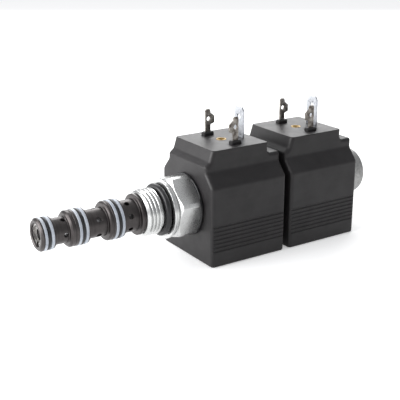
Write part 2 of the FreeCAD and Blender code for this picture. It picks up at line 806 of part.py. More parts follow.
def casing(inserts):
    """The moulded casing, open at both ends round the guide tube, moulded round its metal inserts."""
    body = casing_solid()
    body = body.makeFillet(END_ROUND, end_edges(body))
    half = COIL_WIDTH / 2
    bottom = underside - SPARE_DEPTH
    spare = box(-CUT_OVER, COIL_LENGTH + CUT_OVER, -half - CUT_OVER, half + CUT_OVER, bottom - CUT_OVER, underside)
    body = body.cut(spare)
    body = body.makeFillet(UNDERSIDE_ROUND, underside_edges(body))
    body = body.makeFillet(TOP_ROUND, top_edges(body))
    rib_y = COIL_WIDTH / 2 + RIB_GROOVE_OUT
    ribs = []
    for i in range(RIB_COUNT):
        z = underside + RIB_LOW + i * RIB_PITCH
        for side in (-1, 1):
            start = V(-CUT_OVER, side * rib_y, z)
            ribs.append(Part.makeCylinder(RIB_GROOVE_R, COIL_LENGTH + 2 * CUT_OVER, start, AXIS))
    body = body.cut(ribs)
    for side in (-1, 1):
        body = body.fuse(blade_foot(INSERT_X + side * 0.7, -side * BLADE_REACH))
    body = body.cut(rod(END_WALL, COIL_LENGTH - END_WALL, CAVITY_D))
    body = body.cut(rod(-CUT_OVER, COIL_LENGTH + CUT_OVER, MOUTH_D))
    return body.cut([insert_well()] + inserts)


def blade_foot(x, y):
    """Raised foot round a power blade, rounded at its ends and chamfered on top."""
    top = block_top + FOOT_HEIGHT
    reach = FOOT_LENGTH / 2
    half = FOOT_WIDTH / 2
    foot = box(x - reach, x + reach, y - half, y + half, block_top - 1, top)
    foot = foot.makeFillet(1.0, [edge for edge in foot.Edges if edge.BoundBox.ZLength > FOOT_HEIGHT])
    return foot.makeChamfer(FOOT_CHAMFER, [edge for edge in foot.Edges if edge.BoundBox.ZMin > top - 0.01])


def coil_parts():
    """Every piece of one coil, with the coil's front face at x = 0."""
    blades = {
        "left_power_blade": power_blade(0),
        "right_power_blade": power_blade(180),
        "earth_blade": earth_blade(),
    }
    made = {
        "casing": casing(list(blades.values())),
        "screw_insert": screw_insert(),
        "front_flux_washer": flux_washer(END_WALL),
        "rear_flux_washer": flux_washer(COIL_LENGTH - END_WALL - FLUX_WASHER),
        "flux_shell": flux_shell(),
        "bobbin": bobbin(),
        "winding": winding(),
    }
    made.update(blades)
    return made


def coil_front_seal():
    """Flat rubber ring with a rounded rim, between the hexagon and the first coil."""
    bore_r, outer_r = [d / 2 for d in FRONT_SEAL_D]
    x0 = HEX_END_X + FRONT_SEAL_PLAY
    x1 = COIL_FRONTS[0] - FRONT_SEAL_PLAY
    outline = [
        (V(x0, 0, bore_r), FRONT_SEAL_ROUND),
        (V(x0, 0, outer_r), FRONT_SEAL_ROUND),
        (V(x1, 0, outer_r), FRONT_SEAL_ROUND),
        (V(x1, 0, bore_r), FRONT_SEAL_ROUND),
    ]
    return rounded_face(outline).revolve(V(0, 0, 0), AXIS, 360)


def coil_spacer():
    x0 = COIL_FRONTS[0] + COIL_LENGTH + SPACER_GAP
    x1 = COIL_FRONTS[1] - SPACER_GAP
    r = SPACER_D / 2
    return turned([
        (x0, TUBE_D / 2),
        (x0, r - SPACER_CHAMFER),
        (x0 + SPACER_CHAMFER, r),
        (x1 - SPACER_CHAMFER, r),
        (x1, r - SPACER_CHAMFER),
        (x1, TUBE_D / 2),
    ])


# ---- coil nut -----------------------------------------------------------------------------------
def nut_o_ring():
    return torus(nut_ring_start_x + NUT_RING_SECTION / 2, NUT_RING_MEAN_D, NUT_RING_SECTION)


def coil_nut():
    """Closed nut with a fluted side and a rounded end, and a seal groove in its front face."""
    r = NUT_D / 2
    outline = [
        (V(NUT_START_X, 0, 0), 0.0),
        (V(NUT_START_X, 0, r), NUT_FRONT_ROUND),
        (V(NUT_END_X, 0, r - NUT_TAPER), NUT_END_ROUND),
        (V(NUT_END_X, 0, 0), 0.0),
    ]
    nut = rounded_face(outline).revolve(V(0, 0, 0), AXIS, 360)
    for i in range(NUT_FLUTES):
        a = math.radians(360 / NUT_FLUTES * i)
        out = V(0, math.cos(a), math.sin(a))
        start = V(NUT_START_X + FLUTE_START, 0, 0) + out * (r + FLUTE_OUT)
        nut = nut.cut(Part.makeCylinder(FLUTE_R, NUT_END_X - NUT_START_X, start, AXIS))
    clear_d = TUBE_D + 2 * COIL_GAP
    nut = nut.cut(rod(NUT_START_X - CUT_OVER, TUBE_END_X + 0.6, clear_d))
    nut = nut.cut(rod(TUBE_END_X, STUD_END_X + 1.2, STUD_D + 2 * COIL_GAP))
    groove = tube(NUT_START_X - CUT_OVER, nut_ring_start_x + NUT_RING_SECTION, *NUT_GROOVE_D)
    return nut.cut(groove)


# ---- write every part ---------------------------------------------------------------------------
def all_parts():
    made = {
        "valve_sleeve": valve_sleeve(),
        "nose_retaining_ring": nose_retaining_ring(),
        "nose_spring_seat": nose_spring_seat(),
        "nose_spring": nose_spring(),
        "hex_adapter": hex_adapter(),
        "seat_o_ring": seat_o_ring(),
        "guide_tube": guide_tube(),
        "centre_pole": centre_pole(),
        "pole_bush": pole_bush(),
        "front_pole_shim": pole_shim(pole_front_x - SHIM),
        "rear_pole_shim": pole_shim(pole_rear_x),
        "tail_plug": tail_plug(),
        "spool": spool(),
        "spool_pin": spool_pin(),
        "spool_rod": spool_rod(),
        "front_armature": front_armature(),
        "rear_armature": rear_armature(),
        "push_rod": push_rod(),
        "tail_spring": tail_spring(),
        "coil_front_seal": coil_front_seal(),
        "coil_spacer": coil_spacer(),
        "nut_o_ring": nut_o_ring(),
        "coil_nut": coil_nut(),
    }
    made.update(seal_parts())
    one_coil = coil_parts()
    for number, front in enumerate(COIL_FRONTS, start=1):
        for name, shape in one_coil.items():
            copy = shape.copy()
            copy.translate(V(front, 0, 0))
            made["coil_%d_%s" % (number, name)] = copy
    return made


os.makedirs(OUT, exist_ok=True)
for name, shape in all_parts().items():
    solids = shape.Solids
    print("%-28s solids %d  volume %9.2f  valid %s" % (name, len(solids), shape.Volume, shape.isValid()))
    keep = solids[0] if len(solids) == 1 else shape
    keep.exportStep(os.path.join(OUT, name + ".step"))
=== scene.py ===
import json
import math

import bmesh
import bpy
from mathutils import Matrix, Vector


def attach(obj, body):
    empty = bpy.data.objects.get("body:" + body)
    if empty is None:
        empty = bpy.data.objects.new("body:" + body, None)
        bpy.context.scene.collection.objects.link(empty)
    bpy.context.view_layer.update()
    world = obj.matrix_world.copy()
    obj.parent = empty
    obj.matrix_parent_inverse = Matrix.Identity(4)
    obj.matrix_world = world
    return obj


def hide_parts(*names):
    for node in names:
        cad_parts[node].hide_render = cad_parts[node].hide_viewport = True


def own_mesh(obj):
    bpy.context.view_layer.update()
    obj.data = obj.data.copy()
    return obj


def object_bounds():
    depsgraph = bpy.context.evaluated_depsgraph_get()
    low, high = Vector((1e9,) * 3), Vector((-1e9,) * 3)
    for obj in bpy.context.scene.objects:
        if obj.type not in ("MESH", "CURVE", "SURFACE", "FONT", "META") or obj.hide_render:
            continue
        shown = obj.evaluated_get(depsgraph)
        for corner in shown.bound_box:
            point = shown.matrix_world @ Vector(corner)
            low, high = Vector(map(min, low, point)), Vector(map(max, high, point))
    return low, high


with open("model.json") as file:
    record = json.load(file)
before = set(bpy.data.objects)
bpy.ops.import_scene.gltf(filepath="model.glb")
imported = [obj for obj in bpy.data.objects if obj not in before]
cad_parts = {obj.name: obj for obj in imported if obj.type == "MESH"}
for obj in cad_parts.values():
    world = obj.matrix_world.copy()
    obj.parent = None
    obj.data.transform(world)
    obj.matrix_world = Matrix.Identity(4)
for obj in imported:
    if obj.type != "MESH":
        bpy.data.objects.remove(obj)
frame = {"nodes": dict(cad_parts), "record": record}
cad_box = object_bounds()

# Double solenoid cartridge valve. Lengths below are in millimetres, in the CAD model's own frame:
# +X runs along the valve axis from the nose to the coil nut, +Z is up.
MM = 0.001
FULL_TURN = 2 * math.pi
EDGE = 0.1               # small round on turned metal edges
SHARP = 35               # edges with a larger angle between their faces are shaded sharp
FLOOR_GAP = 0.1          # keeps the floor and the coils' undersides out of one plane
NODE_SLOTS = {part["node"]: part["material_slot"] for part in frame["record"]["subparts"]}

# sleeve
NOSE_X = -53.2
NOSE_R = 6.45
SPOOL_BORE_R = 4.0
NOSE_BORE_R = 4.4
NOSE_BORE_END_X = -44.6
CLIP_X = NOSE_X + 0.7
CLIP_WIDTH = 0.7
CLIP_GROOVE_R = 4.7
SPIGOT_R = 7.0
SPIGOT_END_X = -3.6
SEAL_WIDTH = 3.8
SEAL_SECTION = 1.5
O_RING_D = 1.44
FLANGE = 0.6
SEALS = (("seal_1", -51.85, 6.55), ("seal_2", -38.35, 7.3), ("seal_3", -23.45, 8.05))
NECK_R = (5.15, 5.65, 6.5)
LAND_STARTS = (-41.75, -25.85)       # front ends of the two lands between the necks
LAND_R = (7.1, 7.8)
LAND_CHAMFER = (0.8, 0.6)
SHOULDER_X = (-12.25, -11.95, -11.15)        # its start, the end of its chamfer and its end
SHOULDER_R = (8.05, 8.35)
SHANK_R = 7.75
DRILL_START_R = 3.2
PORT_ROWS = ((-42.9, 0.9, 5, 113.6), (-29.24, 1.0, 5, 149.6), (-16.09, 1.0, 7, 111.6))

# hexagon adapter
THREAD_R = 9.525
THREAD_ROOT_R = 8.605
THREAD_PITCH = 1.5875
THREAD_START_X = -10.3
THREAD_END_X = -3.1
RELIEF_R = 8.2
COLLAR_R = 12.3
COLLAR_LENGTH = 0.97
COLLAR_GROOVE_R = 11.3
HEX_START_X = 2.4
HEX_END_X = 11.7
HEX_HALF = 12.0
HEX_ROUND_R = 13.4
HEX_TURN = 44.5
HEX_FACE_INSET = 0.35
HEX_FRONT_SLOPE = 1.59
HEX_REAR_DEPTH = 0.7
HEX_REAR_SLOPE = 1.4
THREAD_CHAMFER = 1.0
BOSS_R = 8.75
BOSS_END_X = 12.5
TUBE_R = 6.5
TUBE_START_X = 3.2
SEAT_RING = 2.55
SEAT_RECESS_R = 10.9
SEAT_RECESS_DEPTH = 0.1

# coils
COIL_FRONTS = (12.8, 52.3)
BLOCK_TOP = 24.8
INSERT_X = 17.0
INSERT_R = 2.1
BLADE_REACH = 9.0
BLADE = 0.8
TAIL = 4.5
POWER_HOLE = (-0.5, 6.9, 0.95)       # across, height and radius
EARTH_HOLE = (0, 8.4, 1.2)
INSERT_PROUD = 0.15

# coil nut
NUT_START_X = 89.35
NUT_END_X = 103.2
NUT_R = 10.95
NUT_TAPER = 0.5
NUT_FLUTES = 36
NUT_CAP = 2.4            # round at the closed end
NUT_FLANK_START = 1.2
NUT_GROOVE_R = (7.95, 9.55)
NUT_GROOVE_END_X = 90.75
NUT_TUBE_BORE_R = 6.57
NUT_TUBE_BORE_END_X = 91.4
NUT_STUD_BORE_R = 5.07
NUT_STUD_BORE_END_X = 98.6
FLUTE_R = 0.6
FLUTE_OUT = 0.25         # a flute's centre lies this far outside the nut's side


# ---- mesh helpers -------------------------------------------------------------------------------
def rounded(corners, closed, steps=3):
    """(x, r) points from (x, r, radius) corners. Each corner with a radius gives equally many points."""
    points = []
    count = len(corners)
    for i, (x, r, radius) in enumerate(corners):
        here = Vector((x, r))
        at_end = not closed and i in (0, count - 1)
        if radius <= 0 or at_end:
            points.append(here)
            continue
        back = Vector(corners[i - 1][:2]) - here
        ahead = Vector(corners[(i + 1) % count][:2]) - here
        short = min(back.length, ahead.length)
        half = back.angle(ahead) / 2 if short > 1e-4 else math.pi / 2
        if half > math.radians(88):
            points += [here.copy() for _ in range(steps + 1)]
            continue
        reach = min(radius / math.tan(half), 0.45 * short)
        size = reach * math.tan(half)
        middle = (back.normalized() + ahead.normalized()).normalized()
        centre = here + middle * size / math.sin(half)
        spoke = here + back.normalized() * reach - centre
        turn = math.pi - 2 * half
        if back.cross(ahead) > 0:
            turn = -turn
        for k in range(steps + 1):
            a = turn * k / steps
            along = Vector((spoke.x * math.cos(a) - spoke.y * math.sin(a),
                            spoke.x * math.sin(a) + spoke.y * math.cos(a)))
            points.append(centre + along)
    return [(p.x, p.y) for p in points]


def revolve(columns, angles, closed):
    """A mesh about the valve axis from one list of (x, r) points per angle. The last angle is a full turn."""
    bm = bmesh.new()
    grid = []
    for column, a in zip(columns, angles):
        c, s = math.cos(a) * MM, math.sin(a) * MM
        grid.append([bm.verts.new((x * MM, r * c, r * s)) for x, r in column])
    rows = len(columns[0])
    last = rows if closed else rows - 1
    for j in range(len(angles) - 1):
        for i in range(last):
            k = (i + 1) % rows
            bm.faces.new((grid[j][i], grid[j][k], grid[j + 1][k], grid[j + 1][i]))
    bmesh.ops.remove_doubles(bm, verts=bm.verts, dist=2e-7)
    bmesh.ops.dissolve_degenerate(bm, edges=bm.edges, dist=1e-8)
    bmesh.ops.recalc_face_normals(bm, faces=bm.faces)
    return bm


def even_angles(count):
    return [FULL_TURN * j / count for j in range(count + 1)]


def lathe(corners, closed=True, count=144, steps=3):
    column = rounded(corners, closed, steps)
    angles = even_angles(count)
    return revolve([column] * len(angles), angles, closed)


def mesh_of(bm, name):
    for face in bm.faces:
        face.smooth = True
    for edge in bm.edges:
        two = len(edge.link_faces) == 2
        edge.smooth = two and edge.calc_face_angle(0) < math.radians(SHARP)
    mesh = bpy.data.meshes.new(name)
    bm.to_mesh(mesh)
    bm.free()
    return mesh


def add_piece(name, bm, body, slot, replaced=(), material=None):
    """A named piece in its place, with its material, that moves with a CAD body."""
    piece = bpy.data.objects.new(name, mesh_of(bm, name))
    bpy.context.scene.collection.objects.link(piece)
    piece.data.materials.append(material or MATERIALS[slot])
    even = piece.modifiers.new("even_shading", "WEIGHTED_NORMAL")
    even.keep_sharp = True
    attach(piece, body)
    if replaced:
        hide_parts(*replaced)
    return piece


def cut_away(bm, cutter):
    """bm without the space that the closed mesh cutter fills."""
    objects = []
    for name, part in (("body", bm), ("tool", cutter)):
        mesh = bpy.data.meshes.new(name)
        part.to_mesh(mesh)
        part.free()
        item = bpy.data.objects.new(name, mesh)
        bpy.context.scene.collection.objects.link(item)
        objects.append(item)
    body, tool = objects
    boolean = body.modifiers.new("cut", "BOOLEAN")
    boolean.operation = "DIFFERENCE"
    boolean.solver = "EXACT"
    boolean.object = tool
    graph = bpy.context.evaluated_depsgraph_get()
    cut = bmesh.new()
    cut.from_object(body, graph)
    for item in objects:
        mesh = item.data
        bpy.data.objects.remove(item)
        bpy.data.meshes.remove(mesh)
    bmesh.ops.remove_doubles(cut, verts=cut.verts, dist=2e-7)
    bmesh.ops.dissolve_degenerate(cut, edges=cut.edges, dist=1e-8)
    return cut


def upright(x, y, z):
    """Turns the valve axis to +Z and moves the origin to a place in millimetres."""
    return Matrix.Translation(Vector((x, y, z)) * MM) @ Matrix.Rotation(-math.pi / 2, 4, "Y")


# ---- materials ----------------------------------------------------------------------------------
class Shader:
    """A material's node tree with its Principled shader, in object coordinates."""

    def __init__(self, name, colour, metallic, roughness, specular=0.5):
        self.material = bpy.data.materials.new(name)
        self.material.use_nodes = True
        self.tree = self.material.node_tree
        self.bsdf = self.tree.nodes["Principled BSDF"]
        self.bsdf.inputs["Base Color"].default_value = (*colour, 1)
        self.bsdf.inputs["Metallic"].default_value = metallic
        self.bsdf.inputs["Roughness"].default_value = roughness
        self.bsdf.inputs["Specular IOR Level"].default_value = specular
        self.place = self.tree.nodes.new("ShaderNodeTexCoord").outputs["Object"]

    def node(self, kind, **settings):
        made = self.tree.nodes.new(kind)
        for key, value in settings.items():
            setattr(made, key, value)
        return made

    def link(self, output, target):
        self.tree.links.new(output, target)

    def noise(self, scale, detail=3.0, roughness=0.5, vector=None):
        """Noise from 0 to 1 with about 'scale' features a metre."""
        made = self.node("ShaderNodeTexNoise")
        made.inputs["Scale"].default_value = scale
        made.inputs["Detail"].default_value = detail
        made.inputs["Roughness"].default_value = roughness
        self.link(vector or self.place, made.inputs["Vector"])
        return made.outputs["Fac"]

    def stretched(self, x, y, z):
        mapping = self.node("ShaderNodeMapping")
        mapping.inputs["Scale"].default_value = (x, y, z)
        self.link(self.place, mapping.inputs["Vector"])
        return mapping.outputs["Vector"]

    def turned(self):
        """Coordinates (x, distance from the valve axis), so that noise on them gives turning marks."""
        split = self.node("ShaderNodeSeparateXYZ")
        self.link(self.place, split.inputs["Vector"])
        flat = self.node("ShaderNodeCombineXYZ")
        self.link(split.outputs["Y"], flat.inputs["Y"])
        self.link(split.outputs["Z"], flat.inputs["Z"])
        radius = self.node("ShaderNodeVectorMath", operation="LENGTH")
        self.link(flat.outputs["Vector"], radius.inputs[0])
        joined = self.node("ShaderNodeCombineXYZ")
        self.link(split.outputs["X"], joined.inputs["X"])
        self.link(radius.outputs["Value"], joined.inputs["Y"])
        return joined.outputs["Vector"]

    def ramp(self, value, low, high, from_value, to_value):
        """value mapped from low..high to from_value..to_value."""
        made = self.node("ShaderNodeMapRange")
        numbers = {"From Min": low, "From Max": high, "To Min": from_value, "To Max": to_value}
        for key, number in numbers.items():
            made.inputs[key].default_value = number
        self.link(value, made.inputs["Value"])
        return made.outputs["Result"]

    def blend(self, factor, a, b):
        """Colours a to b by factor. Each is three numbers or an output."""
        made = self.node("ShaderNodeMix", data_type="RGBA")
        self.link(factor, made.inputs["Factor"])
        for colour, socket in ((a, made.inputs[6]), (b, made.inputs[7])):
            if isinstance(colour, tuple):
                socket.default_value = (*colour, 1)
            else:
                self.link(colour, socket)
        return made.outputs[2]

    def total(self, a, b, share):
        """a + share * b."""
        made = self.node("ShaderNodeMath", operation="MULTIPLY_ADD")
        self.link(b, made.inputs[0])
        made.inputs[1].default_value = share
        self.link(a, made.inputs[2])
        return made.outputs["Value"]

    def colour(self, output):
        self.link(output, self.bsdf.inputs["Base Color"])

    def roughness(self, output):
        self.link(output, self.bsdf.inputs["Roughness"])

    def bump(self, height, depth, strength=1.0):
        """Bump with its height in millimetres."""
        made = self.node("ShaderNodeBump")
        made.inputs["Distance"].default_value = depth * MM
        made.inputs["Strength"].default_value = strength
        self.link(height, made.inputs["Height"])
        self.link(made.outputs["Normal"], self.bsdf.inputs["Normal"])


def turned_metal(name, dark, light, rough, metallic=1.0, mark=9000, depth=0.004, cloud=260):
    """Turned metal: rings of tool marks about the valve axis under a cloudy finish."""
    s = Shader(name, light, metallic, rough[0])
    marks = s.noise(mark, 2.0, 0.6, s.turned())
    clouds = s.noise(cloud, 4.0, 0.6)
    both = s.total(s.ramp(marks, 0.3, 0.7, 0.0, 0.45), clouds, 0.8)
    s.colour(s.blend(s.ramp(both, 0.3, 0.9, 0.0, 1.0), dark, light))
    s.roughness(s.ramp(both, 0.2, 0.95, rough[1], rough[0]))
    s.bump(s.total(marks, s.noise(3200, 2.0), 0.4), depth)
    return s.material


def moulded_plastic(name, dark, light, rough, grain, depth, specular=0.5):
    """Moulded plastic: fine grain and slow waves from the mould."""
    s = Shader(name, light, 0.0, rough[0], specular)
    clouds = s.noise(140, 5.0, 0.62)
    flow = s.noise(1.0, 4.0, 0.6, s.stretched(90, 260, 700))
    tone = s.total(s.ramp(clouds, 0.3, 0.7, 0.0, 0.6), flow, 0.5)
    plain = s.blend(s.ramp(tone, 0.2, 0.9, 0.0, 1.0), dark, light)
    s.colour(plain)
    s.roughness(s.ramp(tone, 0.2, 0.9, rough[0], rough[1]))
    s.bump(s.total(s.noise(grain, 3.0, 0.6), s.noise(220, 2.0), 1.5), depth)
    return s.material


def rubber(name, colour, rough):
    s = Shader(name, colour, 0.0, rough, 0.4)
    bloom = s.noise(420, 5.0, 0.65)
    s.colour(s.blend(s.ramp(bloom, 0.45, 0.75, 0.0, 1.0), colour, tuple(c * 1.8 + 0.004 for c in colour)))
    s.roughness(s.ramp(bloom, 0.3, 0.7, rough - 0.08, rough + 0.1))
    s.bump(s.noise(5200, 3.0, 0.6), 0.006)
    return s.material


def plated_blade(name, dark, light, rough):
    """Stamped and tinned sheet: rolling lines up the blade and blotches of dull oxide."""
    s = Shader(name, light, 1.0, rough)
    lines = s.noise(1.0, 3.0, 0.6, s.stretched(5200, 5200, 350))
    blotches = s.noise(520, 5.0, 0.7)
    stain = s.total(s.ramp(blotches, 0.38, 0.62, 0.0, 0.8), lines, 0.3)
    s.colour(s.blend(s.ramp(stain, 0.1, 1.0, 0.0, 1.0), light, dark))
    s.roughness(s.ramp(stain, 0.1, 1.0, rough, rough + 0.22))
    s.bump(s.total(lines, blotches, 0.8), 0.008)
    return s.material


def cast_metal(name, dark, light, rough):
    """Blasted or cast metal: a pitted, mottled skin."""
    s = Shader(name, light, 1.0, rough)
    mottle = s.noise(900, 6.0, 0.7)
    pits = s.noise(2600, 3.0, 0.6)
    s.colour(s.blend(s.ramp(mottle, 0.32, 0.68, 0.0, 1.0), dark, light))
    s.roughness(s.ramp(mottle, 0.3, 0.7, rough + 0.08, rough - 0.04))
    s.bump(s.total(pits, mottle, 0.8), 0.02)
    return s.material


def wound_copper(name):
    """Enamelled wire seen from its side: one ridge for each turn, with painted shade in the grooves between
    them.
    """
    s = Shader(name, (0.55, 0.22, 0.09), 1.0, 0.3)
    wave = s.node("ShaderNodeTexWave", wave_type="BANDS", bands_direction="X")
    wave.inputs["Scale"].default_value = 260
    wave.inputs["Distortion"].default_value = 0.4
    s.link(s.place, wave.inputs["Vector"])
    # painted shade: the colour follows the bump's bands, darker in the grooves between turns and lighter on
    # the ridges
    s.colour(s.blend(wave.outputs["Fac"], (0.25, 0.08, 0.03), (0.65, 0.27, 0.11)))
    s.roughness(s.ramp(s.noise(800), 0.3, 0.7, 0.22, 0.4))
    s.bump(wave.outputs["Fac"], 0.1)
    return s.material


MATERIALS = {
    "black_oxide_steel": turned_metal(
        "black_oxide_steel", (0.033, 0.029, 0.029), (0.084, 0.077, 0.076),
        (0.42, 0.28), 0.9, 8000, 0.002, 240),
    "zinc_plated_steel": turned_metal(
        "zinc_plated_steel", (0.52, 0.525, 0.52), (0.63, 0.635, 0.63),
        (0.31, 0.24), 1.0, 7000, 0.0002, 200),
    "stainless_steel": turned_metal(
        "stainless_steel", (0.42, 0.41, 0.40), (0.66, 0.65, 0.64), (0.34, 0.2)),
    "bright_steel": turned_metal(
        "bright_steel", (0.38, 0.38, 0.39), (0.62, 0.62, 0.63), (0.32, 0.18)),
    "spring_steel": turned_metal(
        "spring_steel", (0.25, 0.24, 0.23), (0.55, 0.54, 0.53), (0.36, 0.22)),
    "brass": turned_metal(
        "brass", (0.20, 0.125, 0.04), (0.42, 0.29, 0.11), (0.48, 0.34)),
    "bronze": turned_metal(
        "bronze", (0.35, 0.22, 0.10), (0.58, 0.38, 0.18), (0.5, 0.35)),
    # painted shade: tinned_brass, used for the power blades, is drawn far darker than tin because those
    # blades face away from the light; its blotches are dull oxide, darkened with the rest
    "tinned_brass": plated_blade("tinned_brass", (0.07, 0.058, 0.05), (0.27, 0.255, 0.235), 0.32),
    "matt_aluminium": cast_metal("matt_aluminium", (0.25, 0.25, 0.245), (0.38, 0.38, 0.375), 0.5),
    "copper": wound_copper("copper"),
    "nitrile_rubber": rubber("nitrile_rubber", (0.008, 0.008, 0.009), 0.36),
    "backup_plastic": moulded_plastic(
        "backup_plastic", (0.30, 0.33, 0.38), (0.47, 0.50, 0.55), (0.42, 0.3), 5000, 0.004),
    "casing_plastic": moulded_plastic(
        "casing_plastic", (0.0095, 0.0086, 0.0092), (0.0155, 0.0142, 0.015), (0.5, 0.42), 3800, 0.004, 0.3),
    "spacer_plastic": moulded_plastic(
        "spacer_plastic", (0.006, 0.006, 0.006), (0.012, 0.012, 0.012), (0.5, 0.4), 4200, 0.006),
    "bobbin_plastic": moulded_plastic(
        "bobbin_plastic", (0.25, 0.22, 0.18), (0.4, 0.37, 0.31), (0.5, 0.4), 4200, 0.006),
}
# The earth blade's tin: the unshaded copy of the power blades' tinned brass, which carries painted shade
EARTH_TIN = plated_blade("earth_tin", (0.40, 0.415, 0.44), (0.55, 0.57, 0.61), 0.26)

for node, piece in frame["nodes"].items():
    piece.data.materials.clear()
    piece.data.materials.append(MATERIALS[NODE_SLOTS[node]])


# ---- sleeve and seals ---------------------------------------------------------------------------
def seal_groove(index):
    _, x, over = SEALS[index]
    floor = over - SEAL_SECTION
    wall = over - 0.25
    end = x + SEAL_WIDTH
    return [(x, floor, 0.08), (end, floor, 0.08), (end, wall, EDGE), (end + FLANGE, wall, EDGE)]


def land(x, neck_r, r, groove_x, chamfer):
    line_x = (x + chamfer + groove_x) / 2
    return [
        (x, neck_r, 0.25),
        (x, r - chamfer, EDGE),
        (x + chamfer, r, EDGE),
        (line_x - 0.2, r, 0.05),
        (line_x, r - 0.25, 0.03),
        (line_x + 0.2, r, 0.05),
        (groove_x, r, 0.06),
    ]


def sleeve():
    behind = SEAL_WIDTH + FLANGE
    corners = [
        (NOSE_X, NOSE_BORE_R + 0.3, EDGE),
        (NOSE_X, NOSE_R - 0.8, 0.15),
        (NOSE_X + 0.8, NOSE_R, 0.2),
        (SEALS[0][1], NOSE_R, 0.06),
    ]
    corners += seal_groove(0)
    corners += [(SEALS[0][1] + behind, NECK_R[0], 0.3)]
    corners += land(LAND_STARTS[0], NECK_R[0], LAND_R[0], SEALS[1][1], LAND_CHAMFER[0])
    corners += seal_groove(1)
    corners += [(SEALS[1][1] + behind, NECK_R[1], 0.3)]
    corners += land(LAND_STARTS[1], NECK_R[1], LAND_R[1], SEALS[2][1], LAND_CHAMFER[1])
    corners += seal_groove(2)
    corners += [
        (SEALS[2][1] + behind, NECK_R[2], 0.3),
        (SHOULDER_X[0], NECK_R[2], 0.3),
        (SHOULDER_X[0], SHOULDER_R[0], 0.06),
        (SHOULDER_X[1], SHOULDER_R[1], 0.06),
        (SHOULDER_X[2], SHOULDER_R[1], EDGE),
        (SHOULDER_X[2], SHANK_R, 0.1),
        (THREAD_START_X, SHANK_R, 0.05),
        (THREAD_START_X, SPIGOT_R, 0),
        (SPIGOT_END_X, SPIGOT_R, 0.2),
        (SPIGOT_END_X, SPOOL_BORE_R, 0.15),
        (NOSE_BORE_END_X, SPOOL_BORE_R, 0.06),
        (NOSE_BORE_END_X - 0.4, NOSE_BORE_R, 0.1),
        (CLIP_X + CLIP_WIDTH, NOSE_BORE_R, 0.04),
        (CLIP_X + CLIP_WIDTH, CLIP_GROOVE_R, 0.04),
        (CLIP_X, CLIP_GROOVE_R, 0.04),
        (CLIP_X, NOSE_BORE_R, 0.04),
        (NOSE_X + 0.3, NOSE_BORE_R, 0.06),
    ]
    body = lathe(corners)
    drills = bmesh.new()
    for x, r, count, first in PORT_ROWS:
        for i in range(count):
            drill = drill_at(x, first + 360 * i / count, r)
            mesh = bpy.data.meshes.new("drill")
            drill.to_mesh(mesh)
            drill.free()
            drills.from_mesh(mesh)
            bpy.data.meshes.remove(mesh)
    return cut_away(body, drills)


def neck_radius(x):
    """The radius of the neck that x lies on."""
    return NECK_R[sum(x > start for start in LAND_STARTS)]


def drill_at(x, angle, r):
    """A drill with a countersink that just breaks the hole's edge, pointing out from the valve axis."""
    neck = neck_radius(x)
    corners = [
        (DRILL_START_R, 0, 0),
        (DRILL_START_R, r, 0),
        (neck - 0.16, r, 0),
        (neck + 0.3, r + 0.46, 0),
        (neck + 0.3, 0, 0),
    ]
    drill = lathe(corners, closed=False, count=28)
    out = Vector((0, math.cos(math.radians(angle)), math.sin(math.radians(angle))))
    turn = Vector((1, 0, 0)).rotation_difference(out).to_matrix().to_4x4()
    drill.transform(Matrix.Translation((x * MM, 0, 0)) @ turn)
    return drill


def o_ring(x, mean_r, section, flash=0.03):
    """A moulded ring with the thin line that the mould's halves leave round its outside."""
    r = section / 2 - flash / 2
    sides = 28
    corners = []
    for i in range(sides):
        a = FULL_TURN * i / sides
        grow = flash / 2 if i in (0, sides // 2) else 0
        corners.append((x + r * math.sin(a), mean_r + (r + grow) * math.cos(a), 0))
    return lathe(corners)


def split_ring(x, bore, r, width, cut_angle, slant=35, gap=0.14):
    """A plastic backup ring with rounded edges and one slanting cut."""
    corners = [(x, bore, 0.1), (x, r, 0.22), (x + width, r, 0.22), (x + width, bore, 0.1)]
    section = rounded(corners, True)
    bm = bmesh.new()
    steps = 140
    opening = gap / r
    start = math.radians(cut_angle)
    rings = []
    for j in range(steps + 1):
        a = start + opening / 2 + (FULL_TURN - opening) * j / steps
        ring = []
        for px, pr in section:
            b = a + (px - x - width / 2) * math.tan(math.radians(slant)) / r
            ring.append(bm.verts.new((px * MM, pr * math.cos(b) * MM, pr * math.sin(b) * MM)))
        rings.append(ring)
    rows = len(section)
    for j in range(steps):
        for i in range(rows):
            k = (i + 1) % rows
            bm.faces.new((rings[j][i], rings[j][k], rings[j + 1][k], rings[j + 1][i]))
    bm.faces.new(rings[0])
    bm.faces.new(rings[-1])
    bmesh.ops.recalc_face_normals(bm, faces=bm.faces)
    return bm


def add_seals():
    width = (SEAL_WIDTH - O_RING_D) / 2
    for index, (name, x, over) in enumerate(SEALS):
        floor = over - SEAL_SECTION
        outer = over - 0.05
        front = split_ring(x + 0.01, floor + 0.02, outer, width - 0.02, 200 + 40 * index)
        add_piece(name + "_front_ring", front, "cartridge", "backup_plastic", [name + "_front_backup"])
        rear = split_ring(x + SEAL_WIDTH - width + 0.01, floor + 0.02, outer, width - 0.02, 20 + 50 * index)
        add_piece(name + "_rear_ring", rear, "cartridge", "backup_plastic", [name + "_rear_backup"])
        ring = o_ring(x + SEAL_WIDTH / 2, floor + O_RING_D / 2, O_RING_D)
        add_piece(name + "_ring", ring, "cartridge", "nitrile_rubber", [name + "_o_ring"])


# ---- hexagon adapter ----------------------------------------------------------------------------
def hex_angles():
    """Angles for one turn, close together at the creases of the hexagon's turned corners."""
    crease = math.degrees(math.acos(HEX_HALF / HEX_ROUND_R))
    near = [crease + d for d in (-0.6, -0.3, -0.1, 0.1, 0.3, 0.6)]
    half = [2.5 * i for i in range(10)] + [24.5] + near + [28.6]
    offsets = [-o for o in reversed(half[1:])] + half + [30]
    angles = [HEX_TURN - 30 + 60 * side + o for side in range(6) for o in offsets]
    first = angles[0]
    return [math.radians(a - first) for a in angles] + [FULL_TURN], math.radians(first)


